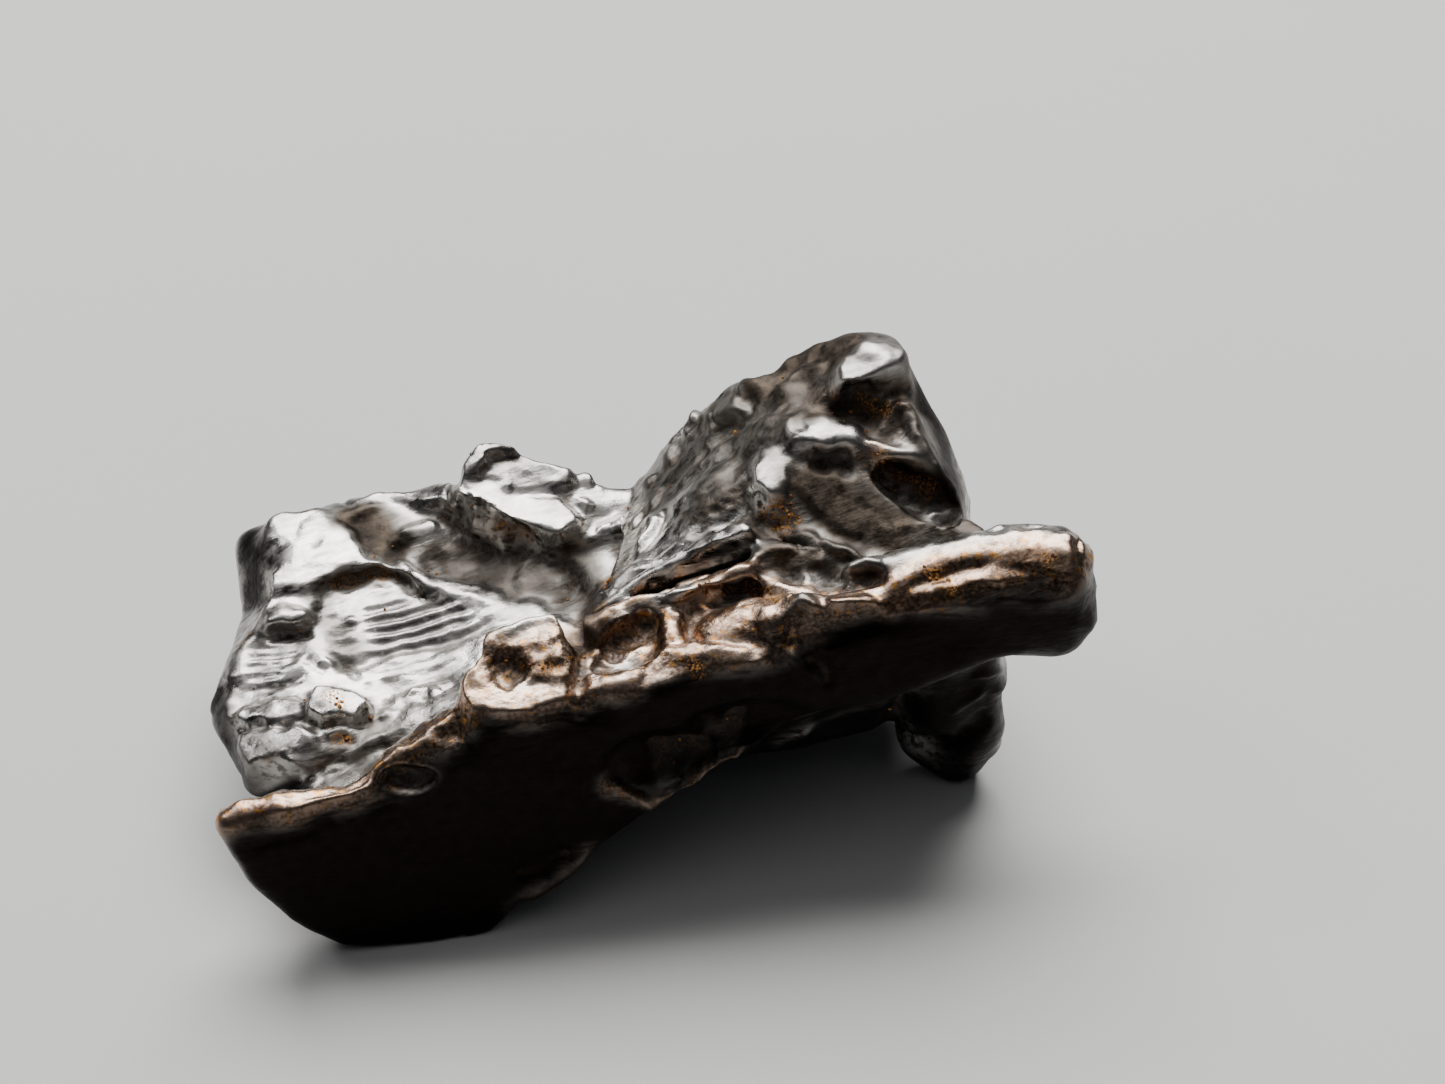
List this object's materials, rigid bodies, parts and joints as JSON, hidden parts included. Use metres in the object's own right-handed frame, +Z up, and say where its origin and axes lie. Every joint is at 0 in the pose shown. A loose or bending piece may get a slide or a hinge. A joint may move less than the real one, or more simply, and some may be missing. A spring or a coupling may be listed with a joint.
{
  "type": "iron meteorite",
  "caption": "Small iron meteorite: a jagged solid lump of dark nickel-iron with a flat front plate, a blunt prong, a low terraced lobe and a steep peak. It rests on a surface by itself.",
  "frame": {"origin": "under the middle of the stone, on the surface it rests on", "axes": "+X along the length towards the prong, +Y towards the back of the stone, +Z up"},
  "size_m": [0.0251, 0.0149, 0.0126],
  "materials": {
    "iron": "worn dark nickel-iron, glossy on ridges, with brown rust in pits"
  },
  "bodies": {
    "root": {"meteorite": "iron"}
  },
  "joints": []
}
